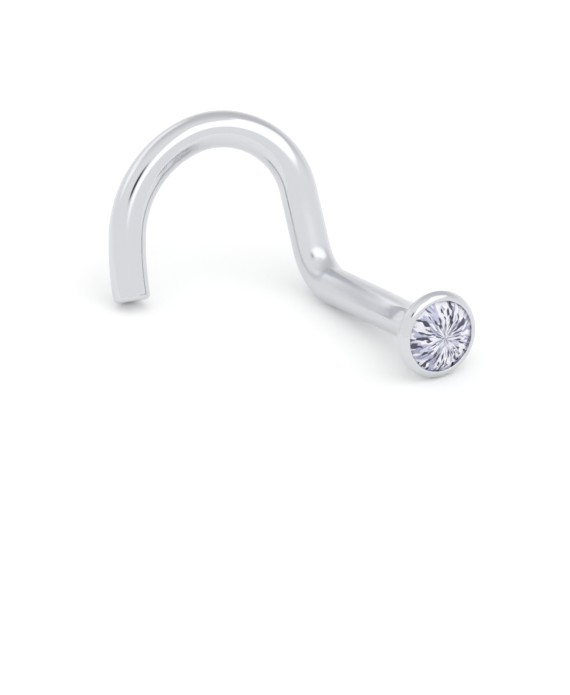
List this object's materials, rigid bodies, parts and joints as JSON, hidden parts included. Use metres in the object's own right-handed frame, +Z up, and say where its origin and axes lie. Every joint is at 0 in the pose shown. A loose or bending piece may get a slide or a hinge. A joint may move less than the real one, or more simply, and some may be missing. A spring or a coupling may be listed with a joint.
{
  "type": "nose screw stud",
  "caption": "Nose screw stud: a round stone in a small polished cup, a straight post, a bend and an open hook.",
  "frame": {"origin": "centre of the base of the bounding box, on the surface that the stud lies on", "axes": "+Z up; +X along the surface from the cut end of the hook to the foot of the bend; the stone looks towards -Y and a little to +X"},
  "size_m": [0.0098, 0.0078, 0.0045],
  "materials": {
    "polished_metal": "high polish, white precious metal",
    "clear_stone": "cut and polished, colourless"
  },
  "bodies": {
    "root": {"cup_post_and_hook": "polished_metal", "stone": "clear_stone"}
  },
  "joints": []
}
